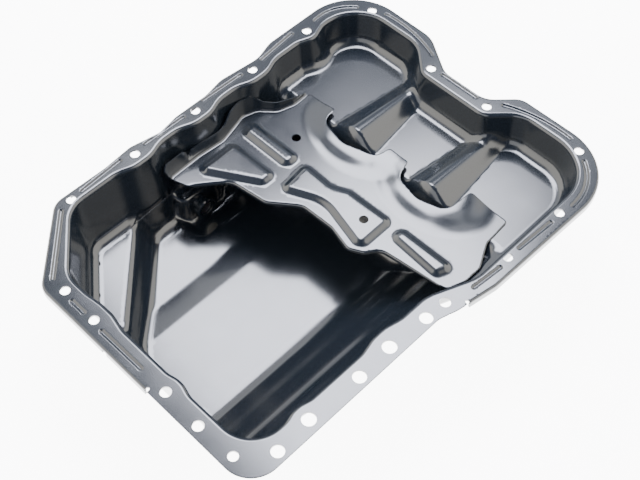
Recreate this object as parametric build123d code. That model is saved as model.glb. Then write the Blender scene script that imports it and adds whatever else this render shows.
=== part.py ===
from build123d import *
from math import atan2, degrees, radians, sin, tan
import os

# Engine oil pan pressed from one steel sheet: a deep sump at one end, a shallow floor at
# the other, a bolting flange all round and a splash baffle spot-welded over the ramp.
# Millimetres, Z up. The sealing face lies on Z=0 and the origin is the bolt pattern's centre.

# Sheet and general press sizes
PAN_SHEET = 1.6
BAFFLE_SHEET = 1.2
DRAFT = 7.5
MOUTH_BEND = 2.6
SHALLOW_DEPTH = 32.0
FLOOR_DEPTH = 86.0
GUTTER_DEPTH = 89.0
SHALLOW_FOOT = 11.0
SUMP_FOOT = 12.0

# Down-turned edge of the flange
LIP_DEPTH = 7.0
LIP_BEND = 2.4
PLAIN_EDGE_RIGHT = 17.0
PLAIN_EDGE_BACK = -31.0
RELIEF_RADIUS = 2.5
RELIEFS = [(-199.5, PLAIN_EDGE_BACK), (PLAIN_EDGE_RIGHT, -147.5)]

# Flange outline corners as (x, y, radius)
FLANGE = [
    (-141, 147, 18), (-198, 90, 18), (-199, -140.5, 25), (-8, -140.5, 20), (8, -145.5, 20),
    (45, -152, 30), (205, -155, 55), (204.5, -46, 16), (182, -24, 20), (182, 20, 20),
    (205, 56, 30), (206, 153, 50), (100, 153, 30), (80, 147, 30), (40, 151, 30), (20, 147, 30),
    (-14, 147, 30), (-34, 143.5, 20), (-62, 149, 20), (-90, 146.5, 30),
]

# Mouth of the pressing: straight sides, with lands swung in round the bolts
TOP_SIDE = 134.0
LEFT_SIDE = -175.5
SUMP_SIDE = -119.5
RIGHT_SIDE = 189.5
SHALLOW_SIDE = -136.0
LAND_RADIUS = 30.0
END_LAND_RADIUS = 16.0
SMALL_LAND_RADIUS = 20.0

# Lands as (centre x, rise, half width at the side, half width at the land, corner radius)
END_LAND = (132.7, 5.0, 16, 3, END_LAND_RADIUS)
FRONT_LANDS = [(67.1, 6.0, 24, 9, LAND_RADIUS), (1.5, 6.0, 24, 9, LAND_RADIUS),
               (-64.1, 5.5, 24, 9, LAND_RADIUS)]
FAR_LANDS = [(-133.5, 2.5, 13, 4, SMALL_LAND_RADIUS), (-48, 3.5, 21, 6, LAND_RADIUS)]

# Mouth corners as (x, y, radius), anticlockwise in three stretches
SUMP_END = [
    (-134, TOP_SIDE, 27), (LEFT_SIDE, 84, 27), (LEFT_SIDE, 62, LAND_RADIUS),
    (LEFT_SIDE + 2, 47, LAND_RADIUS), (LEFT_SIDE + 2, 34, LAND_RADIUS),
    (LEFT_SIDE - 1.5, 18, LAND_RADIUS), (LEFT_SIDE - 2, -32, SMALL_LAND_RADIUS),
    (LEFT_SIDE, -40, SMALL_LAND_RADIUS), (LEFT_SIDE, -47, SMALL_LAND_RADIUS),
    (LEFT_SIDE - 3, -57, SMALL_LAND_RADIUS), (LEFT_SIDE - 3, SUMP_SIDE, 27),
]
FAR_CORNERS = [(0, SUMP_SIDE, 40), (40, SHALLOW_SIDE, 40), (RIGHT_SIDE, SHALLOW_SIDE, 42)]
RIGHT_END = [
    (RIGHT_SIDE, -58, 28), (166, -35, 16), (166, 34, 16), (RIGHT_SIDE, 60, 28),
    (RIGHT_SIDE, TOP_SIDE + 1.5, 36),
]

# The deep punch runs on straight past the ramp to this X
SUMP_PAST = 160.0
SUMP_PAST_RADIUS = 40.0

# Sloped faces inside the sump: ramp to the shallow floor, far side slope, corner shelf
RAMP_FOOT_X, RAMP_TOP_X = 48.0, 90.0
RAMP_TOP_BEND = 8.0
SIDE_SLOPE_FOOT_Y, SIDE_SLOPE_TOP_Y = -44.0, -119.0
SIDE_SLOPE_BEND = 25.0
STEP_TOP_Y, STEP_FOOT_Y = 47.0, 61.0
FLOOR_BEND = 14.0
SHELF_DEPTH = 62.0
SHELF_EDGE = 146.0
SHELF_DRAFT = 18.0

# Two ridges on the shallow floor, pointing at the sump: (y, nose x, height, half width)
RIDGES = [(42.0, 96.0, 12.0, 24.0), (-43.0, 96.0, 10.0, 22.0)]
RIDGE_END_X = 166.0
RIDGE_END_HEIGHT = 5.0
RIDGE_END_HALF = 11.0
RIDGE_CREST = 0.5
RIDGE_FLAT = 1.0
RIDGE_ROOT = 5.0
NOSE_STRETCH = 0.55

# Bolt holes as (x, y, diameter): an even front row, then the rest clockwise from above
FRONT_ROW_X, FRONT_ROW_Y, FRONT_PITCH = 1.7, 139.2, 65.6
BOLT_HOLE = 8.0
HOLES = [(FRONT_ROW_X + i * FRONT_PITCH, FRONT_ROW_Y, BOLT_HOLE) for i in range(-2, 3)] + [
    (191.7, 115.5, BOLT_HOLE), (176, 31, BOLT_HOLE), (176, -31, BOLT_HOLE),
    (191.7, -115.5, BOLT_HOLE), (131, -143, BOLT_HOLE), (70, -141, BOLT_HOLE), (6, -134, 8.8),
    (-14, -133, 10.4), (-51, -130.5, 11.4), (-84, -132, 10.7), (-133, -130, 11),
    (-165, -132, 10.2), (-189, -113, BOLT_HOLE), (-190.5, -79, 8.8), (-189, -43, 8.8),
    (-187, 39.5, BOLT_HOLE), (-186, 75, BOLT_HOLE),
]

# Stiffening beads on the flange as (start, end, sagitta)
BEAD_WIDTH = 4.4
BEAD_DEPTH = 1.0
BEAD_SLOPE = 40.0
BEADS = [
    ((-186, 90), (-142, 136), 0), ((-118, 140), (-77, 142.5), 0), ((-51, 141.5), (-10, 141), 0),
    ((14, 143), (56, 142), 0), ((81, 142), (121, 146), 0), ((147, 143), (185, 128), 6),
    ((197, 103), (188, 41), 4), ((177.5, 19), (177.5, -18), 0), ((187, -40), (197, -102), 4),
    ((186, -125), (144, -146), 6), ((119, -144), (83, -142), 0), ((59, -143), (31, -140.5), 0),
    ((-188, 64), (-188, 50), 0), ((-189, 28), (-189, -16), 0),
]

# Drain: an inward pad on the front wall with a weld nut, a plug and its sealing washer
PAD_LEFT, PAD_RIGHT = -46.0, -2.0
PAD_FACE_Y = 112.0
PAD_TOP = 28.5 - GUTTER_DEPTH
PAD_CORNER = 9.0
PAD_BEND = 4.5
DRAIN_X = -26.0
DRAIN_Z = 13.0 - GUTTER_DEPTH
DRAIN_THREAD = 14.0
DRAIN_FIT = 0.2
NUT_DIAMETER = 20.0
NUT_LENGTH = 9.0
NUT_CHAMFER = 1.0
PLUG_REACH = 7.0
PLUG_HEX = 17.0
PLUG_HEX_HEIGHT = 8.0
PLUG_FLANGE = 20.0
PLUG_FLANGE_HEIGHT = 2.0
WASHER_DIAMETER = 20.0
WASHER_THICKNESS = 1.5

# Splash baffle outline corners on the shallow floor as (x, y, radius)
BAFFLE = [
    (-47, 119, 3), (-42, 104, 8), (-14, 82, 14), (-9, 46, 14), (10, 22, 14), (11, -10, 14),
    (5, -34, 10), (12, -47, 8), (23, -54, 12), (30, -107, 5), (33, -116, 4), (48, -121.5, 10),
    (66, -121.5, 8), (88, -110, 10), (116, -108, 3), (116, -69, 3), (87, -67, 12),
    (79, -42, 20), (85, -16, 12), (103, -11, 3), (103, 10, 3), (88, 13, 10), (79, 43, 20),
    (86, 73, 12), (102, 73, 3), (102, 105, 3), (84, 104, 12), (67, 109, 14), (55, 122, 10),
    (42, 126, 12), (12, 118, 20), (-14, 120, 20),
]
BAFFLE_EDGE_DROP = 3.0
LIP_CENTRE, LIP_SPAN = (-15, 0), (88, 208, 100)
BAFFLE_FENCE = 9.0
FENCE_CENTRE, FENCE_SPAN = (5, 124), (95, 16, 100)

# Raised pads on the baffle, each an outline of (x, y, radius) corners with sloped borders
EMBOSS_HEIGHT = 2.6
EMBOSS_BORDER = 6.0
EMBOSSINGS = [
    [(-30.7, 112, 7.5), (2, 58, 8), (18, 58, 7.5), (17.5, 112, 8)],
    [(27.5, 114.5, 7.5), (27.5, 57.5, 8), (45.5, 57.5, 8), (45, 118.5, 7.5)],
    [(6, 48, 7.5), (23, 11, 32), (9, -44, 9), (51.5, -43.5, 8), (50, 4, 12), (43.5, 19, 12),
     (44.5, 53, 7.5)],
    [(32.5, -103, 7.5), (36, -50, 8), (52, -50, 8), (52.5, -111, 7.5)],
]
BAFFLE_HOLES = [(58, 77), (34, -25)]
BAFFLE_HOLE = 8.0

# Reach of the cutting blocks past the pan, their heights and the radius of their far corners
REACH = 300
CUT_TOP = 60.0
CUT_BOTTOM = -150.0
CUT_CORNER = 4.0
CUT_MARGIN = 0.5
THROUGH = 20.0


def rounded(corners):
    """Face bounded by straight runs and tangent arcs through (x, y, radius) corners."""
    arcs = []
    for i, (x, y, radius) in enumerate(corners):
        here = Vector(x, y)
        back = (Vector(*corners[i - 1][:2]) - here).normalized()
        ahead = (Vector(*corners[(i + 1) % len(corners)][:2]) - here).normalized()
        half = radians(back.get_angle(ahead)) / 2
        reach = radius / tan(half)
        bulge = (back + ahead).normalized() * (radius / sin(half) - radius)
        arcs.append(ThreePointArc(here + back * reach, here + bulge, here + ahead * reach))
    runs = [Line(arc @ 1, arcs[(i + 1) % len(arcs)] @ 0) for i, arc in enumerate(arcs)
            if (arc @ 1 - arcs[(i + 1) % len(arcs)] @ 0).length > 0.001]
    return make_face(arcs + runs)


def grown(corners, gap):
    """The same outline moved outward by gap, with its arcs kept concentric."""
    turns = sum(corners[i - 1][0] * c[1] - c[0] * corners[i - 1][1] for i, c in enumerate(corners))
    side = 1 if turns > 0 else -1
    moved = []
    for i, (x, y, radius) in enumerate(corners):
        here = Vector(x, y)
        along = (here - Vector(*corners[i - 1][:2])).normalized()
        ahead = (Vector(*corners[(i + 1) % len(corners)][:2]) - here).normalized()
        normals = Vector(along.Y + ahead.Y, -along.X - ahead.X) * side
        corner = here + normals * (2 * gap / normals.dot(normals))
        convex = (along.X * ahead.Y - along.Y * ahead.X) * side > 0
        moved.append((corner.X, corner.Y, radius + gap if convex else radius - gap))
    return moved


def lands(side, inward, sizes):
    """Corners of a side swung in round its bolts; inward is -1 at the front, 1 at the far side."""
    corners = []
    for x, rise, half, flat, radius in sizes:
        crest = side + inward * rise
        corners += [(x - inward * half, side, radius), (x - inward * flat, crest, radius),
                    (x + inward * flat, crest, radius), (x + inward * half, side, radius)]
    return corners


def mouth():
    """Inner edge of the flange."""
    return (SUMP_END + lands(SUMP_SIDE, 1, FAR_LANDS) + FAR_CORNERS + RIGHT_END
            + lands(TOP_SIDE, -1, [END_LAND] + FRONT_LANDS))


def sump_mouth():
    """The same sides closed straight across, past the ramp."""
    past = [(SUMP_PAST, side, SUMP_PAST_RADIUS) for side in (SUMP_SIDE, TOP_SIDE)]
    return (SUMP_END + lands(SUMP_SIDE, 1, FAR_LANDS) + past
            + lands(TOP_SIDE, -1, FRONT_LANDS))


def punch(corners, depth, foot):
    """Tapered form hanging from the sealing face, rounded round its bottom."""
    form = extrude(rounded(corners), -depth, taper=DRAFT).solid()
    return form.fillet(foot, form.edges().group_by(Axis.Z)[0])


def ramp(gap):
    """What the punch leaves standing under and past the ramp, for a form grown by gap."""
    foot = -GUTTER_DEPTH - CUT_MARGIN
    past = RAMP_TOP_X + RAMP_TOP_BEND
    side = [(-REACH, foot, CUT_CORNER), (RAMP_FOOT_X, foot, FLOOR_BEND),
            (RAMP_TOP_X, -SHALLOW_DEPTH, RAMP_TOP_BEND), (past, -SHALLOW_DEPTH, CUT_CORNER),
            (past, CUT_TOP, CUT_CORNER), (REACH, CUT_TOP, CUT_CORNER),
            (REACH, CUT_BOTTOM, CUT_CORNER), (-REACH, CUT_BOTTOM, CUT_CORNER)]
    return extrude(Plane.XZ * rounded(grown(side, -gap)), REACH, both=True)


def far_slope(gap):
    """Far side slope, main floor and the gutter's step, seen along X."""
    lean = (SIDE_SLOPE_FOOT_Y - SIDE_SLOPE_TOP_Y) / (FLOOR_DEPTH - SHALLOW_DEPTH)
    start = SIDE_SLOPE_FOOT_Y - lean * (CUT_TOP + FLOOR_DEPTH)
    side = [(start, CUT_TOP, CUT_CORNER),
            (SIDE_SLOPE_FOOT_Y, -FLOOR_DEPTH, SIDE_SLOPE_BEND),
            (STEP_TOP_Y, -FLOOR_DEPTH, FLOOR_BEND), (STEP_FOOT_Y, -GUTTER_DEPTH, FLOOR_BEND),
            (REACH, -GUTTER_DEPTH, CUT_CORNER), (REACH, CUT_BOTTOM, CUT_CORNER),
            (start, CUT_BOTTOM, CUT_CORNER)]
    return Pos(-REACH, 0, 0) * extrude(Plane.YZ * rounded(grown(side, -gap)), 2 * REACH)


def shelf(gap):
    """Block left standing under the shelf in the sump's chamfered corner."""
    block = Pos(0, SHELF_EDGE + gap + REACH / 2) * Rectangle(2 * REACH, REACH)
    return extrude(Pos(0, 0, -SHELF_DEPTH - gap) * Rot(0, 0, 45) * block, -60, taper=-SHELF_DRAFT)


def ridge_side(half, height):
    """One side of a ridge's section: a straight slope under a round crest."""
    crest = RIDGE_CREST * half
    shoulder = height * (half - crest) / (half - crest / 2)
    slope = Polyline((0, -RIDGE_ROOT), (half, -RIDGE_ROOT), (half, 0), (crest, shoulder))
    crown = TangentArc((RIDGE_FLAT, height), (crest, shoulder), tangent=(1, 0))
    return slope + crown + Line((RIDGE_FLAT, height), (0, height))


def ridge(y, nose_x, height, half, gap):
    """Low mound widening from the end wall to a round nose."""
    base = -SHALLOW_DEPTH - gap
    sections = []
    for x, w, h in ((nose_x, half, height), (RIDGE_END_X, RIDGE_END_HALF, RIDGE_END_HEIGHT)):
        side = ridge_side(w, h)
        plane = Plane((x, y, base), x_dir=(0, 1, 0), z_dir=(1, 0, 0))
        sections.append(plane * make_face(side + mirror(side, Plane.YZ)))
    body = loft(sections, ruled=True)
    profile = make_face(ridge_side(half, height) + Line((0, height), (0, -RIDGE_ROOT)))
    nose = revolve(Plane((nose_x, y, base), x_dir=(1, 0, 0), z_dir=(0, -1, 0)) * profile,
                   Axis((nose_x, y, base), (0, 0, 1)))
    return body + Pos(nose_x * (1 - NOSE_STRETCH)) * scale(nose, by=(NOSE_STRETCH, 1, 1))


def drain_pad(gap):
    """Wedge left standing in front of the wall, carrying the drain nut."""
    corners = grown([(PAD_LEFT, REACH, CUT_CORNER), (PAD_LEFT, PAD_FACE_Y, PAD_CORNER),
                     (PAD_RIGHT, PAD_FACE_Y, PAD_CORNER), (PAD_RIGHT, REACH, CUT_CORNER)], -gap)
    block = extrude(Pos(0, 0, CUT_BOTTOM) * rounded(corners), PAD_TOP - gap - CUT_BOTTOM).solid()
    return block.fillet(PAD_BEND - gap, block.edges().group_by(Axis.Z)[-1].filter_by(
        lambda edge: edge.center().Y < REACH / 2))


def pressing(gap):
    """Inner form of the pan for gap 0, outer form for gap equal to the sheet."""
    sump = punch(grown(sump_mouth(), gap), GUTTER_DEPTH + gap, SUMP_FOOT + gap)
    sump = sump - ramp(gap) - far_slope(gap) - shelf(gap) - drain_pad(gap)
    form = punch(grown(mouth(), gap), SHALLOW_DEPTH + gap, SHALLOW_FOOT + gap) + sump
    for y, nose_x, height, half in RIDGES:
        form = form - ridge(y, nose_x, height, half, gap)
    return form


def flange():
    """Flat flange with its edge turned down, plain in the far left quarter."""
    blank = rounded(FLANGE)
    turned = extrude(blank, -LIP_DEPTH).solid()
    turned = turned.fillet(LIP_BEND, turned.edges().group_by(Axis.Z)[-1])
    hollow = Pos(0, 0, -PAN_SHEET) * extrude(rounded(grown(FLANGE, -PAN_SHEET)), -LIP_DEPTH)
    quarter = Pos(PLAIN_EDGE_RIGHT, PLAIN_EDGE_BACK) * Box(
        REACH, REACH, REACH, align=(Align.MAX, Align.MAX, Align.CENTER))
    plate = extrude(blank, -PAN_SHEET)
    body = (turned - hollow - quarter) + (plate & quarter)
    for x, y in RELIEFS:
        body = body - Pos(x, y) * Cylinder(RELIEF_RADIUS, REACH)
    return body


def bead(start, end, sagitta, width, top):
    """Tapered groove form with rounded ends between two points."""
    a, b = Vector(*start), Vector(*end)
    run = b - a
    if sagitta:
        across = run.normalized().rotate(Axis.Z, 90)
        slot = SlotArc(ThreePointArc(a, (a + b) * 0.5 + across * sagitta, b), width)
    else:
        turn = degrees(atan2(run.Y, run.X))
        slot = Pos((a + b) * 0.5) * Rot(0, 0, turn) * SlotCenterToCenter(run.length, width)
    return extrude(Pos(0, 0, top) * slot, -BEAD_DEPTH, taper=BEAD_SLOPE)


def pan():
    body = flange() + pressing(PAN_SHEET) - pressing(0)
    sealing_face = body.faces().sort_by(Axis.Z)[-1]
    body = fillet(sealing_face.inner_wires()[0].edges(), MOUTH_BEND)
    for start, end, sagitta in BEADS:
        body = body + bead(start, end, sagitta, BEAD_WIDTH + PAN_SHEET, -PAN_SHEET)
        body = body - bead(start, end, sagitta, BEAD_WIDTH, 0)
    for x, y, diameter in HOLES:
        body = body - Pos(x, y) * Cylinder(diameter / 2, THROUGH)
    return body - drain_axis(PAD_FACE_Y) * Cylinder(DRAIN_THREAD / 2 + DRAIN_FIT, THROUGH)


def drain_axis(y):
    """Frame on the drain's axis with its Z pointing out of the sump."""
    return Pos(DRAIN_X, y, DRAIN_Z) * Rot(-90, 0, 0)


def baffle():
    """Flat sheet with a fence along the front, a turned-down edge and raised pads."""
    floor = -SHALLOW_DEPTH
    body = Pos(0, 0, floor) * extrude(rounded(BAFFLE), BAFFLE_SHEET)
    rim = rounded(BAFFLE) - rounded(grown(BAFFLE, -BAFFLE_SHEET))
    fence = extrude(Pos(0, 0, floor) * rim, BAFFLE_SHEET + BAFFLE_FENCE)
    lip = extrude(Pos(0, 0, floor) * rim, -BAFFLE_EDGE_DROP)
    body = body + (fence & Pos(*FENCE_CENTRE) * Box(*FENCE_SPAN))
    body = body + (lip & Pos(*LIP_CENTRE) * Box(*LIP_SPAN))
    for corners in EMBOSSINGS:
        crown = Pos(0, 0, EMBOSS_HEIGHT) * rounded(grown(corners, -EMBOSS_BORDER))
        raised = loft([rounded(corners), crown], ruled=True)
        body = body + Pos(0, 0, floor + BAFFLE_SHEET) * raised
        body = body - Pos(0, 0, floor) * raised
    for x, y in BAFFLE_HOLES:
        body = body - Pos(x, y, floor) * Cylinder(BAFFLE_HOLE / 2, THROUGH)
    return body


def drain_nut():
    align = (Align.CENTER, Align.CENTER, Align.MAX)
    body = Cylinder(NUT_DIAMETER / 2, NUT_LENGTH, align=align)
    body = chamfer(body.edges().group_by(Axis.Z)[0], NUT_CHAMFER)
    body = body - Cylinder(DRAIN_THREAD / 2 + DRAIN_FIT, 3 * NUT_LENGTH)
    return drain_axis(PAD_FACE_Y) * body


def drain_plug():
    """Hex-headed plug, its flange seated on the washer outside the pad."""
    align = (Align.CENTER, Align.CENTER, Align.MIN)
    seat = WASHER_THICKNESS
    head = extrude(Pos(0, 0, seat) * RegularPolygon(PLUG_HEX / 2, 6, major_radius=False),
                   PLUG_FLANGE_HEIGHT + PLUG_HEX_HEIGHT)
    flange_disc = Pos(0, 0, seat) * Cylinder(PLUG_FLANGE / 2, PLUG_FLANGE_HEIGHT, align=align)
    shank = Pos(0, 0, -PAN_SHEET - PLUG_REACH) * Cylinder(
        DRAIN_THREAD / 2, seat + PAN_SHEET + PLUG_REACH, align=align)
    shank = chamfer(shank.edges().group_by(Axis.Z)[0], NUT_CHAMFER)
    return drain_axis(PAD_FACE_Y + PAN_SHEET) * (head + flange_disc + shank)


def drain_washer():
    align = (Align.CENTER, Align.CENTER, Align.MIN)
    ring = Cylinder(WASHER_DIAMETER / 2, WASHER_THICKNESS, align=align)
    ring = ring - Cylinder(DRAIN_THREAD / 2 + DRAIN_FIT, 3 * WASHER_THICKNESS)
    return drain_axis(PAD_FACE_Y + PAN_SHEET) * ring


pieces = {"pan": pan(), "baffle": baffle(), "drain_nut": drain_nut(),
          "drain_plug": drain_plug(), "drain_washer": drain_washer()}
os.makedirs("parts", exist_ok=True)
for name, piece in pieces.items():
    export_step(piece, f"parts/{name}.step")
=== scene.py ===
import math
import bpy
import numpy as np
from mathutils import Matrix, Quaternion, Vector
from mathutils.geometry import delaunay_2d_cdt


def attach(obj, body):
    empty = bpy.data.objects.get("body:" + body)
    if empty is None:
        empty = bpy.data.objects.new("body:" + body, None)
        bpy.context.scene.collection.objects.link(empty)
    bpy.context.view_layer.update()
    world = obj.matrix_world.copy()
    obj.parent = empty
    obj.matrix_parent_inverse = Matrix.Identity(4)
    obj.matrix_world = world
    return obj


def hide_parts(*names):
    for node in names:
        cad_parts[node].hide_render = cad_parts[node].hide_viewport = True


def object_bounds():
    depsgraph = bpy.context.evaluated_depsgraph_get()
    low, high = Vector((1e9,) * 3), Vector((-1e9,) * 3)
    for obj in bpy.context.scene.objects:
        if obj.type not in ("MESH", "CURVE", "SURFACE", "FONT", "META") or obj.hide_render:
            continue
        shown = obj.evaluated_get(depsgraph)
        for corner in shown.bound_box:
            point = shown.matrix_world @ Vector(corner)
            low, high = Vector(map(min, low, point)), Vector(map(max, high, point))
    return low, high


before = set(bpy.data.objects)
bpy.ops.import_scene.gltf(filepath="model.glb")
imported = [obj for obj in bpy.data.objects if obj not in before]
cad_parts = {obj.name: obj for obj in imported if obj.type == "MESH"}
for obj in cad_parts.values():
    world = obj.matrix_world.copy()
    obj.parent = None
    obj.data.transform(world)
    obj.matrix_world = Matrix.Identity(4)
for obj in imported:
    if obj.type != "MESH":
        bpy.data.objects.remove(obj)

CAD_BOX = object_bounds()

# The pan, in millimetres: Z is 0 on the sealing face and goes down into the sump.
# A corner of an outline is (x, y, radius).
SHEET, BAFFLE_SHEET = 1.6, 1.2
SHALLOW, FLOOR = -32.0, -86.0
WALL_LEAN, WALL_CREST, WALL_FOOT = 7.5, 3.8, 11.0
RAMP_FOOT, RAMP_RUN, RAMP_ROUND = 48, 42, 13.0
SHELF_LINE, SHELF_TREAD, SHELF_SLOPE = 146, -62.0, 0.11
PAD_FACE = -60.5
FLANGE = [
    (-141, 147, 18), (-198, 90, 18), (-199, -140.5, 25), (-8, -140.5, 20), (8, -145.5, 20),
    (45, -152, 30), (205, -155, 55), (204.5, -46, 16), (182, -24, 20), (182, 20, 20),
    (205, 56, 30), (206, 153, 50), (100, 153, 30), (80, 147, 30), (40, 151, 30), (20, 147, 30),
    (-14, 147, 30), (-34, 143.5, 20), (-62, 149, 20), (-90, 146.5, 30),
]
# Bolt holes as (x, y, diameter)
HOLES = [(1.7 + i * 65.6, 139.2, 8) for i in range(-2, 3)] + [
    (191.7, 115.5, 8), (176, 31, 8), (176, -31, 8), (191.7, -115.5, 8), (131, -143, 8),
    (70, -141, 8), (6, -134, 8.8), (-14, -133, 10.4), (-51, -130.5, 11.4), (-84, -132, 10.7),
    (-133, -130, 11), (-165, -132, 10.2), (-189, -113, 8), (-190.5, -79, 8.8),
    (-189, -43, 8.8), (-187, 39.5, 8), (-186, 75, 8),
]
# Pressed beads as (start, end, bow)
BEAD_HALF, BEAD_SINK = 2.5, 1.15
BEADS = [
    ((-186, 90), (-142, 136), 0), ((-118, 140), (-77, 142.5), 0), ((-51, 141.5), (-10, 141), 0),
    ((14, 143), (56, 142), 0), ((81, 142), (121, 146), 0), ((147, 143), (185, 128), 6),
    ((197, 103), (188, 41), 4), ((177.5, 19), (177.5, -18), 0), ((187, -40), (197, -102), 4),
    ((186, -125), (144, -146), 6), ((119, -144), (83, -142), 0), ((59, -143), (31, -140.5), 0),
    ((-188, 64), (-188, 50), 0), ((-189, 28), (-189, -16), 0),
]
# Mounds on the shallow floor as (centre y, nose x, height, half width), and where they end
RIDGES = [(41.0, 95.0, 12.5, 25.0), (-43.5, 95.0, 12.0, 24.0)]
RIDGE_END, RIDGE_END_HEIGHT, RIDGE_END_HALF = 166.0, 6.5, 15.0

# The flange's outer edge is turned down, except in the quarter beside the sump
LIP_BEND, LIP_ROWS = 2.4, (-4.0, -5.6, -7.0)
PLAIN_X, PLAIN_Y = 17, -31
NOTCH = [(-1.5, 0), (-1.5, 2.2), (-0.9, 3.3), (0, 3.7), (0.9, 3.3), (1.5, 2.2), (1.5, 0)]

# The baffle
BAFFLE_HOLES = [(58, 77, 8), (34, -25, 8)]
EMBOSS_HEIGHT, TURNED_EDGE = 3.0, 2.6
DISH_X, DISH_RADIUS, DISH_RUN, DISH_LIFT = 100, 38, 15, 4.6
BAFFLE = [
    (-47, 119, 3), (-42, 104, 8), (-14, 82, 14), (-9, 46, 14), (10, 22, 14), (11, -10, 14),
    (5, -34, 10), (12, -47, 8), (23, -54, 12), (30, -107, 5), (33, -116, 4), (48, -121.5, 10),
    (66, -121.5, 8), (88, -110, 10), (116, -108, 3), (116, -69, 3), (87, -67, 12),
    (79, -42, 20), (85, -16, 12), (103, -11, 3), (103, 10, 3), (88, 13, 10), (79, 43, 20),
    (86, 73, 12), (102, 73, 3), (102, 105, 3), (84, 104, 12), (67, 109, 14), (55, 122, 10),
    (42, 126, 12), (12, 118, 20), (-14, 120, 20),
]
EMBOSSINGS = [
    [(-30.7, 112, 7.5), (2, 58, 8), (18, 58, 7.5), (17.5, 112, 8)],
    [(27.5, 114.5, 7.5), (27.5, 57.5, 8), (45.5, 57.5, 8), (45, 118.5, 7.5)],
    [(6, 48, 7.5), (23, 11, 32), (9, -44, 9), (51.5, -43.5, 8), (50, 4, 12), (43.5, 19, 12),
     (44.5, 53, 7.5)],
    [(32.5, -103, 7.5), (36, -50, 8), (52, -50, 8), (52.5, -111, 7.5)],
]

# Rows of mesh points: into the pan from its mouth, past the wall's foot, round the drain pad,
# down from the shelf's crest, and across a bead
WALL_ROWS = (-3.4, -2.9, -2.3, -1.7, -1.1, -0.6, -0.2, 0.1, 0.4, 0.8, 1.4, 2.1, 2.8, 3.4, 4.0,
             4.8, 5.7, 6.7, 7.8, 8.8, 9.7, 10.6, 11.5, 12.4, 13.4, 14.4)
FOOT_ROWS = (15.2, 16.1, 17.0, 18.0, 19.0, 20.0, 21.1, 22.3, 23.6, 25.2)
PAD_ROWS = (-6, -4.5, -3.4, -2.4, -1.5, -0.7, -0.2, 0.1, 0.5, 1, 1.7, 2.6, 3.6, 4.8, 6.2, 7.8, 9.6)
SHELF_ROWS = (-8, -6, -4.6, -3.4, -2.4, -1.4, -0.4, 0.6, 1.8, 3, 4.2, 5.4, 6.6, 7.8, 9, 10.4,
              11.8, 13.4, 15, 17, 19.5, 22)
BEAD_ROWS = (-3.2, -2.5, -1.9, -1.3, -0.65, 0, 0.65, 1.3, 1.9, 2.5, 3.2)
EMBOSS_ROWS = (-0.6, 0.1, 0.6, 1.1, 1.6, 2.1, 2.6, 3.2, 3.8, 4.3, 4.8, 5.3, 6.0, 7.0)
HOLE_SLACK = 0.02  # triangles of a hole's ring may reach this far into it


def lands(side, inward, sizes):
    """Corners of a side swung in round its bolts, inward being -1 at the front."""
    corners = []
    for x, rise, half, flat, radius in sizes:
        crest = side + inward * rise
        corners += [(x - inward * half, side, radius), (x - inward * flat, crest, radius),
                    (x + inward * flat, crest, radius), (x + inward * half, side, radius)]
    return corners


MOUTH = [
    (-134, 134, 27), (-175.5, 84, 27), (-175.5, 62, 30), (-173.5, 47, 30), (-173.5, 34, 30),
    (-177, 18, 30), (-177.5, -32, 20), (-175.5, -40, 20), (-175.5, -47, 20), (-178.5, -57, 20),
    (-178.5, -119.5, 27), *lands(-119.5, 1, [(-133.5, 2.5, 13, 4, 20), (-48, 3.5, 21, 6, 30)]),
    (0, -119.5, 40), (40, -136, 40), (189.5, -136, 42), (189.5, -58, 28), (166, -35, 16),
    (166, 34, 16), (189.5, 60, 28), (189.5, 135.5, 36),
    *lands(134, -1, [(132.7, 5, 16, 3, 16), (67.1, 6, 24, 9, 30), (1.5, 6, 24, 9, 30),
                     (-64.1, 5.5, 24, 9, 30)]),
]


def in_ring(p, ring):
    """Whether points lie inside a closed ring of points."""
    found = np.zeros(len(p), bool)
    x, y = p[:, 0], p[:, 1]
    for a, b in zip(ring, np.roll(ring, -1, 0)):
        crosses = (a[1] > y) != (b[1] > y)
        if crosses.any():
            at = a[0] + (y - a[1]) / (b[1] - a[1] + 1e-30) * (b[0] - a[0])
            found ^= crosses & (x < at)
    return found


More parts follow.
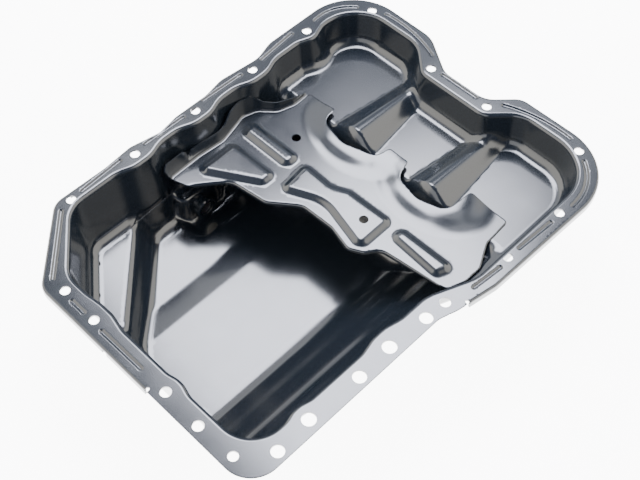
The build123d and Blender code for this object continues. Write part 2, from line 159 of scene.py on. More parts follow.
class Outline:
    """Closed outline of straight runs and tangent arcs through (x, y, radius) corners."""

    def __init__(self, corners):
        pts = np.array([c[:2] for c in corners], float)
        rad = np.array([c[2] for c in corners], float)
        back = np.roll(pts, 1, 0) - pts
        ahead = np.roll(pts, -1, 0) - pts
        back /= np.linalg.norm(back, axis=1)[:, None]
        ahead /= np.linalg.norm(ahead, axis=1)[:, None]
        half = np.arccos(np.clip((back * ahead).sum(1), -1, 1)) / 2
        reach = rad / np.tan(half)
        mid = back + ahead
        mid /= np.linalg.norm(mid, axis=1)[:, None]
        self.start = pts + back * reach[:, None]
        self.end = pts + ahead * reach[:, None]
        self.centre = pts + mid * (rad / np.sin(half))[:, None]
        self.radius = rad
        self.half = math.pi / 2 - half
        self.to_corner = -mid
        x, y = pts[:, 0], pts[:, 1]
        self.turn = 1.0 if (x * np.roll(y, -1) - np.roll(x, -1) * y).sum() > 0 else -1.0
        cross = -back[:, 0] * ahead[:, 1] + back[:, 1] * ahead[:, 0]
        self.convex = cross * self.turn > 0
        self.ring = self.sampled(0.6)[0]

    def sampled(self, step, bend_step=None):
        """Points and inward normals along the outline."""
        points, normals = [], []
        bend_step = bend_step or step
        for i, radius in enumerate(self.radius):
            sweep = 2 * self.half[i]
            count = max(2, int(math.ceil(radius * sweep / min(bend_step, radius * 0.35))))
            middle = math.atan2(self.to_corner[i, 1], self.to_corner[i, 0])
            side = (1 if self.convex[i] else -1) * self.turn
            angles = middle + side * np.linspace(-self.half[i], self.half[i], count + 1)
            out = np.c_[np.cos(angles), np.sin(angles)]
            points.append(self.centre[i] + radius * out)
            normals.append(-out if self.convex[i] else out)
            j = (i + 1) % len(self.radius)
            run = self.start[j] - self.end[i]
            length = np.linalg.norm(run)
            count = int(length / step)
            if count > 1:
                share = np.arange(1, count)[:, None] / count
                points.append(self.end[i] + run * share)
                along = run / length
                inward = np.array([-along[1], along[0]]) * self.turn
                normals.append(np.tile(inward, (count - 1, 1)))
        points, normals = np.vstack(points), np.vstack(normals)
        keep = np.linalg.norm(points - np.roll(points, 1, 0), axis=1) > 0.05
        return points[keep], normals[keep]

    def depth(self, p):
        """Distance to the outline, positive inside."""
        best = np.full(len(p), 1e9)
        for i, radius in enumerate(self.radius):
            away = p - self.centre[i]
            length = np.linalg.norm(away, axis=1)
            facing = (away @ self.to_corner[i]) >= length * math.cos(self.half[i]) - 1e-9
            best = np.where(facing, np.minimum(best, np.abs(length - radius)), best)
            j = (i + 1) % len(self.radius)
            run = self.start[j] - self.end[i]
            length = np.linalg.norm(run)
            if length > 1e-6:
                run = run / length
                t = (p - self.end[i]) @ run
                off = np.abs((p - self.end[i]) @ np.array([-run[1], run[0]]))
                best = np.where((t >= 0) & (t <= length), np.minimum(best, off), best)
        return np.where(in_ring(p, self.ring), best, -best)


def soft_max(a, b, width):
    """The greater of two heights, rounded where they are within a width of each other."""
    gap = np.maximum(width - np.abs(a - b), 0) / width
    return np.maximum(a, b) + gap * gap * width / 4


def soft_min(a, b, width):
    """The lesser of two heights, rounded in the same way."""
    return -soft_max(-a, -b, width)


def smooth(t):
    """Smooth step from 0 to 1 as t goes from 0 to 1."""
    t = np.clip(t, 0, 1)
    return t * t * (3 - 2 * t)


def step_up(u, low, high, angle, foot, crest):
    """Height of a leaning face at u past its crest line, with round foot and crest."""
    lean = math.radians(angle)
    half_turn = (math.pi / 2 - lean) / 2
    low = np.asarray(low, float)
    rise = np.maximum(high - low, 1e-6)
    need = (foot + crest) * math.tan(half_turn) * math.cos(lean)
    scale = np.minimum(1.0, rise / need)
    foot, crest = foot * scale, crest * scale
    top_run, foot_run = crest * math.tan(half_turn), foot * math.tan(half_turn)
    ends = rise * math.tan(lean)
    z = high - u / math.tan(lean)
    on_crest = (u >= -top_run) & (u <= top_run * math.sin(lean))
    z = np.where(on_crest, high - crest
                 + np.sqrt(np.maximum(crest ** 2 - (u + top_run) ** 2, 0)), z)
    z = np.where(u < -top_run, high, z)
    from_centre = u - (ends + foot_run)
    on_foot = (u >= ends - foot_run * math.sin(lean)) & (from_centre <= 0)
    z = np.where(on_foot, low + foot - np.sqrt(np.maximum(foot ** 2 - from_centre ** 2, 0)), z)
    return np.where(from_centre > 0, low, z)


mouth = Outline(MOUTH)
flange = Outline(FLANGE)
pad = Outline([(-46, 300, 9), (-46, 112, 9), (-2, 112, 9), (-2, 300, 9)])


def ridge_height(x, y, centre, nose, height, half):
    """Rise of a long mound of bell-shaped section with a rounded nose."""
    share = np.clip((x - nose) / (RIDGE_END - nose), 0, 1.2)
    tall = height + share * (RIDGE_END_HEIGHT - height)
    wide = half + share * (RIDGE_END_HALF - half)
    ahead = np.minimum(x - nose, 0) / 0.7
    off = np.clip(np.hypot(ahead, y - centre) / wide, 0, 1)
    return tall * (1 - off ** 2) ** 2


def bead_depth(p):
    """Depth of the nearest bead's groove."""
    depth = np.zeros(len(p))
    for points, _ in bead_lines:
        near = np.full(len(p), 1e9)
        for a, b in zip(points[:-1], points[1:]):
            run = b - a
            t = np.clip((p - a) @ run / (run @ run), 0, 1)
            near = np.minimum(near, np.linalg.norm(p - a - t[:, None] * run, axis=1))
        share = np.clip(near / BEAD_HALF, 0, 1)
        depth = np.maximum(depth, BEAD_SINK * (0.5 + 0.5 * np.cos(math.pi * share)))
    return depth


def bead_line(start, end, sagitta, step=2.0):
    """Points and side normals along a bead's centre line."""
    a, b = np.array(start, float), np.array(end, float)
    run = b - a
    length = np.linalg.norm(run)
    across = np.array([-run[1], run[0]]) / length
    share = np.linspace(0, 1, max(3, int(length / step)) + 1)
    bow = 4 * share * (1 - share) * sagitta
    points = a + share[:, None] * run + bow[:, None] * across
    slope = np.gradient(points, axis=0)
    slope /= np.linalg.norm(slope, axis=1)[:, None]
    return points, np.c_[-slope[:, 1], slope[:, 0]]


bead_lines = [bead_line(*b) for b in BEADS]


def rounded(y, z, width, step=0.5):
    """A profile of straight runs with its corners rounded over a width."""
    fine = np.arange(y[0], y[-1] + step, step)
    line = np.interp(fine, y, z)
    count = int(width / step) | 1
    padded = np.concatenate([np.full(count, line[0]), line, np.full(count, line[-1])])
    for _ in range(2):
        padded = np.convolve(padded, np.ones(count) / count, "same")
    return fine, padded[count:-count]


# Fall of the sump floor across the gutter, by the drain and beside the shelf, and the rise of
# the sump's near side, all along Y
GROOVE_Y, GROOVE_Z = rounded([-60, 41, 64, 86, 100, 200], [0, 0, -2.4, 0.2, -3.0, -3.0], 3.0)
SHELF_GROOVE_Z = rounded([-60, 41, 64, 110, 200], [0, 0, -2.4, 3.2, 3.2], 3.0)[1]
SIDE_Y, SIDE_RISE = rounded([30, 43, 50, 60, 69, 81, 90, 120, 150],
                            [0, 0, 1.6, 7.2, 11.4, 19.2, 23.4, 54.0, 90.0], 4.0)


def pan_height(p):
    """Height of the pan's upper face, for points in plan."""
    x, y = p[:, 0], p[:, 1]
    by_drain = np.interp(y, GROOVE_Y, GROOVE_Z)
    by_shelf = np.interp(y, GROOVE_Y, SHELF_GROOVE_Z)
    groove = (by_drain + (by_shelf - by_drain) * smooth((-40 - x) / 12)) * smooth((60 - x) / 30)
    low = FLOOR + groove + np.interp(-y, SIDE_Y, SIDE_RISE)
    ramp = FLOOR + (x - RAMP_FOOT) * (SHALLOW - FLOOR) / RAMP_RUN
    low = soft_max(low, ramp, RAMP_ROUND)
    # Shelf across the drain corner
    across = (y - x) / math.sqrt(2)
    tread = SHELF_TREAD + SHELF_SLOPE * np.clip(y - 58, 0, 60)
    shelf = step_up(SHELF_LINE - across, np.minimum(low, tread - 1), tread, 18.0, 13.0, 9.0)
    low = np.maximum(low, shelf)
    # Pad for the drain nut
    on_pad = step_up(-pad.depth(p), np.minimum(low, PAD_FACE - 0.5), PAD_FACE, 4.0, 7.0, 4.5)
    low = np.where(low < PAD_FACE, np.maximum(low, on_pad), low)
    # Shallow floor with its mounds
    low = soft_min(low, np.full(len(p), SHALLOW), 6.5)
    for ridge in RIDGES:
        low = low + ridge_height(x, y, *ridge)
    # Wall up to the mouth, with a wider foot in the sump's near corner
    foot = WALL_FOOT + 9.0 * np.clip((20 - x) / 30, 0, 1) * np.clip((-60 - y) / 30, 0, 1)
    foot = foot + 1.5 * (low < -70)
    return step_up(mouth.depth(p), low, 0.0, WALL_LEAN, foot, WALL_CREST) - bead_depth(p)


def is_plain(p):
    """Whether points lie in the quarter of the flange whose edge isn't turned down."""
    return (p[:, 0] < PLAIN_X) & (p[:, 1] < PLAIN_Y)


def flange_height(p, soft=0.25):
    """Height of the flange's upper face, with its bent or lightly broken edge."""
    d = flange.depth(p)
    from_bend = LIP_BEND - np.clip(d, 0, LIP_BEND)
    bend = LIP_BEND - np.sqrt(np.maximum(LIP_BEND ** 2 - from_bend ** 2, 0))
    broken = 0.12 * ((soft - np.clip(d, 0, soft)) / soft) ** 2
    return pan_height(p) - np.where(is_plain(p), broken, bend)


def normals_of(height, p, h=0.04):
    """Unit normals of a height field at points in plan."""
    dx, dy = np.array([h, 0.0]), np.array([0.0, h])
    gx = (height(p + dx) - height(p - dx)) / (2 * h)
    gy = (height(p + dy) - height(p - dy)) / (2 * h)
    n = np.c_[-gx, -gy, np.ones(len(p))]
    return n / np.linalg.norm(n, axis=1)[:, None]


def grid(box, step):
    """Points of a triangular lattice over (x0, y0, x1, y1)."""
    rows = np.arange(box[1], box[3], step * 0.866)
    points = []
    for i, v in enumerate(rows):
        u = np.arange(box[0] + (step / 2 if i % 2 else 0), box[2], step)
        points.append(np.c_[u, np.full(len(u), v)])
    return np.vstack(points)


def thinned(points, gap):
    """Drops points closer than gap to an earlier one."""
    cells, keep = {}, []
    for i, (u, v) in enumerate(points):
        key = (int(u // gap), int(v // gap))
        near = any((u - points[j][0]) ** 2 + (v - points[j][1]) ** 2 < gap * gap
                   for du in (-1, 0, 1) for dv in (-1, 0, 1)
                   for j in cells.get((key[0] + du, key[1] + dv), ()))
        if not near:
            cells.setdefault(key, []).append(i)
            keep.append(i)
    return points[keep]


def circle(x, y, radius, count):
    """Points round a circle."""
    a = np.arange(count) * 2 * math.pi / count
    return np.c_[x + radius * np.cos(a), y + radius * np.sin(a)]


def clear_of(holes, p, gap):
    """Whether points lie outside all the round holes by a gap."""
    clear = np.ones(len(p), bool)
    for x, y, diameter in holes:
        clear &= np.hypot(p[:, 0] - x, p[:, 1] - y) > diameter / 2 + gap
    return clear


def triangulated(loops, loose, inside):
    """Triangles over loops and loose points, kept where inside(centroids) is true."""
    points, edges = [], []
    for loop in loops:
        base = sum(len(q) for q in points)
        points.append(loop)
        edges += [(base + k, base + (k + 1) % len(loop)) for k in range(len(loop))]
    points.append(loose)
    flat = np.vstack(points)
    out = delaunay_2d_cdt([Vector(q) for q in flat.tolist()], edges, [], 0, 1e-5)
    made = np.array([tuple(q) for q in out[0]])
    faces = np.array([f for f in out[2] if len(f) == 3])
    centroids = made[faces].mean(1)
    return made, faces[inside(centroids)]


def sheet_object(name, verts, normals, faces, thickness):
    """Closed thin sheet: the given upper face, its offset underside and the cut edges."""
    count = len(verts)
    all_verts = np.vstack([verts, verts - normals * thickness])
    edges = {}
    for f in faces:
        n = len(f)
        for k in range(n):
            edges[(f[k], f[(k + 1) % n])] = True
    rim = [e for e in edges if (e[1], e[0]) not in edges]
    polys = [tuple(f) for f in faces] + [tuple(int(v) + count for v in reversed(f)) for f in faces]
    polys += [(b, a, a + count, b + count) for a, b in rim]
    mesh = bpy.data.meshes.new(name)
    mesh.from_pydata((all_verts / 1000).tolist(), [], [tuple(int(v) for v in q) for q in polys])
    upper = len(faces)
    loop_normals = []
    for i, q in enumerate(polys):
        if i < upper:
            loop_normals += [normals[v] for v in q]
        elif i < 2 * upper:
            loop_normals += [-normals[v - count] for v in q]
        else:
            a, b = all_verts[q[0]], all_verts[q[1]]
            up = normals[q[0]] + normals[q[1]]
            side = np.cross(up, b - a)
            side = side / (np.linalg.norm(side) + 1e-12)
            loop_normals += [side] * 4
    mesh.polygons.foreach_set("use_smooth", [True] * len(mesh.polygons))
    mesh.normals_split_custom_set([tuple(n) for n in loop_normals])
    obj = bpy.data.objects.new(name, mesh)
    bpy.context.scene.collection.objects.link(obj)
    return obj


def outer_loop():
    """Flange edge with its relief notches: points, inward normals and marks for the lip.

    A mark is True for a turned-down edge, False for a plain one and None in a notch.
    """
    points, inward = flange.sampled(2.4, 1.6)
    plain = is_plain(points)
    loop, normals, marks = [], [], []
    for i, (a, n) in enumerate(zip(points, inward)):
        j = (i + 1) % len(points)
        loop.append(a)
        normals.append(n)
        marks.append(not plain[i])
        if plain[i] != plain[j]:
            b = points[j]
            along = (b - a) / np.linalg.norm(b - a)
            loop += [(a + b) / 2 + along * u + n * v for u, v in NOTCH]
            normals += [n] * len(NOTCH)
            marks += [None] * len(NOTCH)
    return np.array(loop), np.array(normals), marks


def wall_band():
    """Points and faces of the wall from the flange to its foot, and the points in a row."""
    at, inward = mouth.sampled(2.6, 2.0)
    cols = len(at)
    faces = []
    for i in range(len(WALL_ROWS) - 1):
        for k in range(cols):
            n = (k + 1) % cols
            faces.append((i * cols + k, i * cols + n, (i + 1) * cols + n, (i + 1) * cols + k))
    if mouth.turn < 0:
        faces = [tuple(reversed(f)) for f in faces]
    return np.vstack([at + inward * d for d in WALL_ROWS]), faces, cols


def floor_points():
    """Loose points over the floor, denser along its rounded steps."""
    at, inward = mouth.sampled(2.6, 2.0)
    feet = [(at + inward * d, d) for d in FOOT_ROWS]
    feet = [row[np.abs(mouth.depth(row) - d) < 0.05] for row, d in feet]
    at, inward = pad.sampled(1.6)
    near_pad = np.vstack([at - inward * d for d in PAD_ROWS])
    near_pad = near_pad[near_pad[:, 1] < 128]
    t = np.arange(-70, 70, 2.2) / math.sqrt(2)
    lines = [(SHELF_LINE - off) / math.sqrt(2) for off in SHELF_ROWS]
    crest = np.vstack([np.c_[t - line, t + line] for line in lines])
    shallow = grid((30, -120, 170, 90), 2.1)
    everywhere = grid((-176, -140, 192, 140), 3.4)
    loose = thinned(np.vstack(feet + [near_pad, crest, shallow, everywhere]), 0.75)
    return loose[mouth.depth(loose) > WALL_ROWS[-1] + 0.5]


def flange_points(edge, edge_normals, marks):
    """Loose points over the flange, denser by its edge, holes and beads."""
    border = [np.array([e + n * d for e, n, mark in zip(edge, edge_normals, marks)
                        if mark is not None]) for d in (0.25, 0.8, 1.5, 2.4, 3.4)]
    rings = [circle(x, y, diameter / 2 + e, 44) for x, y, diameter in HOLES
             for e in (0.15, 0.4, 1.0)]
    grooves = [points + normals * off for points, normals in bead_lines for off in BEAD_ROWS]
    ends = [circle(*q, e, 12) for points, _ in bead_lines for q in (points[0], points[-1])
            for e in BEAD_ROWS if e > 0]
    flat = grid((-204, -160, 210, 158), 5.0)
    loose = thinned(np.vstack(border + rings + grooves + ends + [flat]), 0.3)
    keep = (mouth.depth(loose) < WALL_ROWS[0] - 0.3) & (flange.depth(loose) > 0.2)
    keep &= clear_of(HOLES, loose, 0.1)
    for point, mark in zip(edge, marks):
        if mark is None:
            keep &= np.linalg.norm(loose - point, axis=1) > 0.5
    return loose[keep]


def with_lip(verts, normals, faces, edge, edge_normals, marks):
    """Adds the turned-down lip below the flange's bend."""
    index = {(round(v[0], 3), round(v[1], 3)): i for i, v in enumerate(verts)}
    points, sides, columns = [], [], []
    for e, n, mark in zip(edge, edge_normals, marks):
        i = index.get((round(e[0], 3), round(e[1], 3)))
        columns.append(None)
        if mark and i is not None:
            normals[i] = (-n[0], -n[1], 0)
            first = len(verts) + len(points)
            columns[-1] = [i, *range(first, first + len(LIP_ROWS))]
            points += [(*e, z) for z in LIP_ROWS]
            sides += [(-n[0], -n[1], 0)] * len(LIP_ROWS)
    for a, b in zip(columns, columns[1:] + columns[:1]):
        if a and b:
            for r in range(len(LIP_ROWS)):
                q = (a[r], a[r + 1], b[r + 1], b[r])
                faces.append(q if flange.turn > 0 else tuple(reversed(q)))
    return np.vstack([verts, points]), np.vstack([normals, sides]), faces


def build_pan():
    """The pan: wall band, the floor inside it, the flange outside it and the lip."""
    band, band_faces, cols = wall_band()
    floor_mesh = triangulated([band[-cols:]], floor_points(),
                              lambda c: mouth.depth(c) > WALL_ROWS[-1] - 0.05)
    edge, edge_normals, marks = outer_loop()

    def on_flange(c):
        return ((mouth.depth(c) < WALL_ROWS[0] + 0.05) & clear_of(HOLES, c, -HOLE_SLACK)
                & in_ring(c, edge))

    rings = [circle(x, y, diameter / 2, 44) for x, y, diameter in HOLES]
    rim_mesh = triangulated([edge, band[:cols]] + rings,
                            flange_points(edge, edge_normals, marks), on_flange)
    verts, normals, faces = [], [], []
    for p, polys, height in ((band, band_faces, pan_height), (*floor_mesh, pan_height),
                             (*rim_mesh, flange_height)):
        base = sum(len(q) for q in verts)
        verts.append(np.c_[p, height(p)])
        normals.append(normals_of(height, p))
        faces += [tuple(int(v) + base for v in f) for f in polys]
    pressing = welded(np.vstack(verts), np.vstack(normals), faces)
    return sheet_object("pan_pressing", *with_lip(*pressing, edge, edge_normals, marks), SHEET)


def welded(verts, normals, faces):
    """Joins points that share a place in plan."""
    keys, new, where = {}, [], np.zeros(len(verts), int)
    for i, v in enumerate(verts):
        key = (round(v[0], 3), round(v[1], 3))
        if key not in keys:
            keys[key] = len(new)
            new.append(i)
        where[i] = keys[key]
    out = []
    for f in faces:
        g = [int(where[v]) for v in f]
        g = [v for k, v in enumerate(g) if v != g[k - 1]]
        if len(set(g)) > 2:
            out.append(tuple(g))
    return verts[new], normals[new], out


def pad_profile(d):
    """Share of a raised pad's height at a distance inside its outline."""
    return soft_min(soft_max(0 * d, (d - 0.6) / 5.2, 0.34), 1 + 0 * d, 0.34)


def near_side(x, y):
    """Share of the turned-down edge along the baffle's sump side."""
    return smooth((34 - x) / 10) * smooth((112 + 0.15 * x - y) / 8) * smooth((y + 112) / 6)


def baffle_height(outline, pads, p):
    """Height of the baffle's upper face, for points in plan."""
    x, y = p[:, 0], p[:, 1]
    depth = outline.depth(p)
    base = SHALLOW + BAFFLE_SHEET
    z = np.full(len(p), base)
    for e in pads:
        z = np.maximum(z, base + EMBOSS_HEIGHT * pad_profile(e.depth(p)))
    for centre, *_ in RIDGES:
        off = np.hypot(x - DISH_X, (y - centre) * 0.74)
        share = soft_max(0 * off, (DISH_RADIUS - off) / DISH_RUN, 0.4)
        z = z + DISH_LIFT * soft_min(share, 1 + 0 * off, 0.4)
    turned = TURNED_EDGE * (1 - np.sqrt(1 - np.clip(1 - depth / TURNED_EDGE, 0, 1) ** 2))
    return z - near_side(x, y) * turned - 0.25 * np.clip(1 - depth / 0.6, 0, 1) ** 2


def fence_rows(outline):
    """Rows of points from the baffle's front edge up to the top of its leaning fence."""
    edge, inward = outline.sampled(1.8, 1.3)
    x, y = edge[:, 0], edge[:, 1]
    on = (y > 117.5) | ((x > 44) & (y > 101) & (inward[:, 1] < 0))
    on &= x < 99
    order = np.argsort(x[on])
    edge, inward = edge[on][order], inward[on][order]
    x = edge[:, 0]
    tall = np.interp(x, [-50, -44, -27, -24, -22, -19, 20, 30, 52, 58, 70, 84, 100],
                     [2, 13, 13, 11, 3, 9, 10, 17, 17, 9, 8, 6, 1])
    lean = np.interp(x, [-50, -24, 22, 30, 52, 58, 84], [3.5, 3.0, 1.5, 1.8, 1.8, 1.2, 0.8])
    bend = [(0, 0), (0.9, 0.15), (1.6, 0.6), (2.1, 1.5), (2.3, 2.6)]
    steps = [(out + 0 * x, np.minimum(up, tall)) for out, up in bend]
    steps += [(bend[-1][0] + share * lean, np.maximum(share * tall, np.minimum(tall, 2.8)))
              for share in (0.35, 0.7, 1.0)]
    foot = SHALLOW + BAFFLE_SHEET - 0.1
    return [np.c_[edge - inward * out[:, None], foot + up] for out, up in steps]


def build_baffle():
    """The baffle's plate with its pads, dishes, turned edge and holes."""
    outline = Outline(BAFFLE)
    pads = [Outline(e) for e in EMBOSSINGS]
    edge, inward = outline.sampled(1.8, 1.3)
    at, normal = outline.sampled(1.8)
    rows = [at + normal * d for d in (0.3, 0.7, 1.2, 1.8, 2.5, 3.4)]
    borders = []
    for e in pads:
        at, normal = e.sampled(1.6, 1.2)
        borders += [at + normal * d for d in EMBOSS_ROWS]
    holes = [circle(x, y, diameter / 2, 40) for x, y, diameter in BAFFLE_HOLES]
    rings = [circle(x, y, diameter / 2 + e, 40) for x, y, diameter in BAFFLE_HOLES
             for e in (0.3, 1.0)]
    loose = thinned(np.vstack(rows + rings + borders + [grid((-50, -125, 120, 130), 2.4)]), 0.5)
    loose = loose[(outline.depth(loose) > 0.2) & clear_of(BAFFLE_HOLES, loose, 0.1)]

    def height(p):
        return baffle_height(outline, pads, p)

    points, faces = triangulated([edge] + holes, loose, lambda c: (
        in_ring(c, edge) & clear_of(BAFFLE_HOLES, c, -HOLE_SLACK)))
    return sheet_object("splash_baffle", np.c_[points, height(points)],
                        normals_of(height, points), [tuple(f) for f in faces], BAFFLE_SHEET)


def build_fence():
    """The baffle's fence, open where neighbouring points of its foot are far apart."""
    rows = fence_rows(Outline(BAFFLE))
    count = len(rows[0])
    faces = []
    for i in range(len(rows) - 1):
        for k in range(count - 1):
            if np.linalg.norm(rows[0][k] - rows[0][k + 1]) < 4:
                a, b = i * count + k, i * count + k + 1
                faces.append((a, b, b + count, a + count))
    along = np.vstack([np.gradient(r, axis=0) for r in rows])
    up = np.gradient(np.array(rows), axis=0).reshape(-1, 3)
    normals = np.cross(along, up)
    normals /= np.linalg.norm(normals, axis=1)[:, None] + 1e-9
    return sheet_object("baffle_fence", np.vstack(rows), normals, faces, BAFFLE_SHEET)


def noise_over(tree, scale, detail):
    """Noise over the object's own coordinates."""
    coord = tree.nodes.new("ShaderNodeTexCoord")
    noise = tree.nodes.new("ShaderNodeTexNoise")
    noise.inputs["Scale"].default_value = scale
    noise.inputs["Detail"].default_value = detail
    tree.links.new(coord.outputs["Object"], noise.inputs["Vector"])
    return noise.outputs["Fac"]


def vary_roughness(tree, noise, rough, spread):
    """Roughness that follows the noise, within a spread to each side."""
    ramp = tree.nodes.new("ShaderNodeMapRange")
    ramp.inputs["To Min"].default_value = rough - spread
    ramp.inputs["To Max"].default_value = rough + spread
    tree.links.new(noise, ramp.inputs["Value"])
    tree.links.new(ramp.outputs["Result"], tree.nodes["Principled BSDF"].inputs["Roughness"])


def new_material(name):
    """An empty node material, and its tree and main shader."""
    material = bpy.data.materials.new(name)
    material.use_nodes = True
    return material, material.node_tree, material.node_tree.nodes["Principled BSDF"]


def black_paint(name, rough=0.16):
    """Glossy black paint with a faint peel."""
    material, tree, shader = new_material(name)
    shader.inputs["Base Color"].default_value = (0.013, 0.018, 0.025, 1)
    shader.inputs["IOR"].default_value = 1.9
    vary_roughness(tree, noise_over(tree, 60, 3), rough, 0.03)
    bump = tree.nodes.new("ShaderNodeBump")
    bump.inputs["Strength"].default_value = 0.003
    bump.inputs["Distance"].default_value = 0.0001
    tree.links.new(noise_over(tree, 420, 2), bump.inputs["Height"])
    tree.links.new(bump.outputs["Normal"], shader.inputs["Normal"])
    return material


def metal(name, colour, rough):
    """Bare metal with a fine mottle of colour and roughness."""
    material, tree, shader = new_material(name)
    shader.inputs["Metallic"].default_value = 1.0
    noise = noise_over(tree, 300, 4)
    tint = tree.nodes.new("ShaderNodeMix")
    tint.data_type = "RGBA"
    tint.inputs["A"].default_value = (*[c * 0.75 for c in colour], 1)
    tint.inputs["B"].default_value = (*colour, 1)
    tree.links.new(noise, tint.inputs["Factor"])
    tree.links.new(tint.outputs["Result"], shader.inputs["Base Color"])
    vary_roughness(tree, noise, rough, 0.08)
    return material


paint = black_paint("black_paint")
for build, node, slot in ((build_pan, "pan", "black_paint"),
                          (build_baffle, "baffle", "baffle_paint"),
                          (build_fence, "baffle", "baffle_paint")):
    obj = build()
    obj.data.materials.append(paint)
    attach(obj, "root")
    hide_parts(node)
for node, material in (("drain_nut", paint),
                       ("drain_plug", metal("plated_steel", (0.56, 0.53, 0.47), 0.3)),
                       ("drain_washer", metal("aluminium", (0.80, 0.80, 0.82), 0.38))):
    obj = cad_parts[node]
    obj.data.materials.clear()
    obj.data.materials.append(material)

# Plain white floor just under the pan, in metres as all that follows
bpy.ops.mesh.primitive_plane_add(size=8, location=(0, 0, CAD_BOX[0].z - 0.0002))
floor = bpy.context.object
floor.name = "studio_floor"
white, _, shader = new_material("floor_white")
shader.inputs["Base Color"].default_value = (0.85, 0.85, 0.86, 1)
shader.inputs["Roughness"].default_value = 0.9
shader.inputs["Emission Color"].default_value = (1, 1, 1, 1)
shader.inputs["Emission Strength"].default_value = 9.0
floor.data.materials.append(white)


class Nodes:
    """Small helper to write shader arithmetic."""

    def __init__(self, tree):
        self.tree = tree

    def math(self, operation, *values):
        """A math node over values or sockets."""
        node = self.tree.nodes.new("ShaderNodeMath")
        node.operation = operation
        for socket, value in zip(node.inputs, values):
            if hasattr(value, "is_output"):
                self.tree.links.new(value, socket)
            else:
                socket.default_value = value
        return node.outputs[0]

    def times(self, first, *others):
        """Product of all the values."""
        for other in others:
            first = self.math("MULTIPLY", first, other)
        return first

    def step(self, value, start, end):
        """Smooth step from 0 at start to 1 at end."""
        node = self.tree.nodes.new("ShaderNodeMapRange")
        node.interpolation_type = "SMOOTHSTEP"
        self.tree.links.new(value, node.inputs["Value"])
        node.inputs["From Min"].default_value = start
        node.inputs["From Max"].default_value = end
        return node.outputs["Result"]

    def band(self, value, rise, fall):
        """1 between a rising and a falling step."""
        return self.times(self.step(value, *rise), self.step(value, *fall))

    def mix(self, share, a, b):
        """Colour between a and b, each a socket or a plain colour."""
        node = self.tree.nodes.new("ShaderNodeMix")
        node.data_type = "RGBA"
        self.tree.links.new(share, node.inputs["Factor"])
        for colour, name in ((a, "A"), (b, "B")):
            if hasattr(colour, "is_output"):
                self.tree.links.new(colour, node.inputs[name])
            else:
                node.inputs[name].default_value = (*colour, 1)
        return node.outputs["Result"]

    def generated(self):
        """The generated coordinates' three parts."""
        coord = self.tree.nodes.new("ShaderNodeTexCoord")
        parts = self.tree.nodes.new("ShaderNodeSeparateXYZ")
        self.tree.links.new(coord.outputs["Generated"], parts.inputs[0])
        return parts.outputs


# Soft box over the far side of the pan
BOX_LOW, BOX_HIGH, BOX_Z = (0.02, 0.04), (0.94, 0.86), 1.0
BOX_STRENGTH, BOX_COLOUR = 17.5, (0.92, 0.95, 1.07, 1)
box_size = [high - low for low, high in zip(BOX_LOW, BOX_HIGH)]
box_centre = [(low + high) / 2 for low, high in zip(BOX_LOW, BOX_HIGH)]
bpy.ops.mesh.primitive_plane_add(size=1, location=(*box_centre, BOX_Z))
box = bpy.context.object
box.name = "soft_box"
box.scale = (*box_size, 1)
box.visible_camera = False
light = bpy.data.materials.new("soft_box_light")
light.use_nodes = True
tree = light.node_tree
tree.nodes.clear()
k = Nodes(tree)
u, v = [k.math("MULTIPLY_ADD", part, size, low)
        for part, size, low in zip(k.generated(), box_size, BOX_LOW)]
left = k.step(k.math("MULTIPLY_ADD", v, -0.12, u), 0.03, 0.13)
near = k.step(k.math("MULTIPLY_ADD", k.step(u, 0.58, 0.76), -0.12, v), 0.06, 0.16)
edge = k.times(left, near, k.step(u, 0.93, 0.88), k.step(v, 0.81, 0.74))
# The far right of the box is dark, and its right side dimmer
late = k.math("MULTIPLY_ADD", k.step(u, 0.68, 0.80), -0.06, 0.56)
far = k.math("DIVIDE", k.math("SUBTRACT", v, late), 0.11)
bright = k.math("SUBTRACT", 1.0, k.times(k.step(far, 0.0, 1.0), k.step(u, 0.40, 0.49)))
bright = k.times(bright, k.math("MULTIPLY_ADD", k.step(u, 0.66, 0.80), -0.38, 1.0))
bright = k.math("MAXIMUM", bright, k.times(k.step(u, 0.62, 0.78), 0.14))
emission = tree.nodes.new("ShaderNodeEmission")
emission.inputs["Color"].default_value = BOX_COLOUR
tree.links.new(k.times(edge, bright, BOX_STRENGTH), emission.inputs["Strength"])
surface = tree.nodes.new("ShaderNodeOutputMaterial")
tree.links.new(emission.outputs[0], surface.inputs["Surface"])
box.data.materials.append(light)

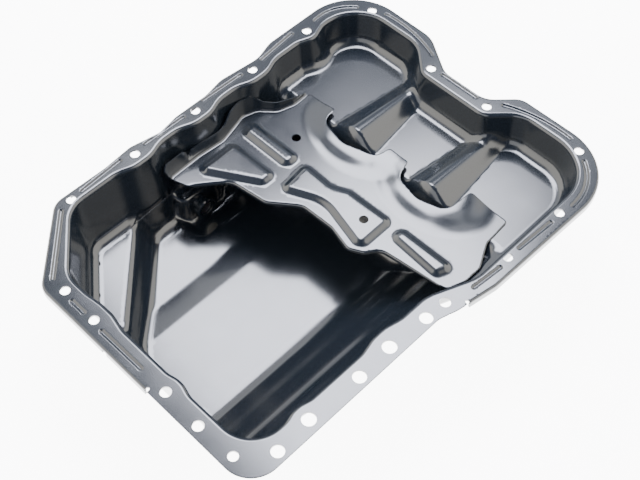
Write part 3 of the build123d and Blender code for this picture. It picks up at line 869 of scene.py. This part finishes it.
# Studio round it, by the direction's share away from the camera, to the left and up
DARK, LOW_BACK, GREY = (0.10, 0.12, 0.18), (0.55, 0.58, 0.66), (1.9, 1.97, 2.15)
GAP, WINDOW, WARM = (0.45, 0.48, 0.55), (1.7, 1.72, 1.78), (2.7, 2.6, 2.4)
world = bpy.data.worlds.new("studio")
bpy.context.scene.world = world
world.use_nodes = True
k = Nodes(world.node_tree)
x, y, z = k.generated()
back = k.times(k.math("ADD", x, y), math.sqrt(0.5))
leaning = k.times(k.math("SUBTRACT", y, x), math.sqrt(0.5))
side = k.math("ABSOLUTE", leaning)
colour = k.mix(k.step(back, -0.1, 0.15), DARK, LOW_BACK)
colour = k.mix(k.times(k.step(back, 0.1, 0.2), k.band(z, (0.58, 0.86), (0.995, 0.97))),
               colour, GREY)
colour = k.mix(k.times(k.band(side, (0.24, 0.30), (0.42, 0.34)), 0.8), colour, GAP)
colour = k.mix(k.times(k.step(leaning, 0.03, 0.13), k.band(z, (0.2, 0.32), (0.80, 0.72))),
               colour, WINDOW)
colour = k.mix(k.times(k.step(side, 0.37, 0.60), k.step(back, -0.70, -0.36),
                       k.band(z, (0.0, 0.08), (0.95, 0.76))), colour, WARM)
background = world.node_tree.nodes["Background"]
background.inputs["Strength"].default_value = 1.0
world.node_tree.links.new(colour, background.inputs["Color"])

# Camera where the photograph was taken from
CAMERA, AIM, ROLL = Vector((-389.7, -398.6, 740)), Vector((-19.2, -28.1, 0)), -0.3
SENSOR, FOCAL_PIXELS, PHOTO_WIDTH = 36, 1178, 640
cam_data = bpy.data.cameras.new("camera")
cam_data.sensor_width = SENSOR
cam_data.lens = FOCAL_PIXELS / PHOTO_WIDTH * SENSOR
cam_data.clip_start, cam_data.clip_end = 0.01, 20
cam = bpy.data.objects.new("camera", cam_data)
bpy.context.scene.collection.objects.link(cam)
cam.location = CAMERA / 1000
cam.rotation_mode = "QUATERNION"
cam.rotation_quaternion = ((AIM - CAMERA).to_track_quat("-Z", "Y")
                           @ Quaternion((0, 0, 1), math.radians(ROLL)))
bpy.context.scene.camera = cam
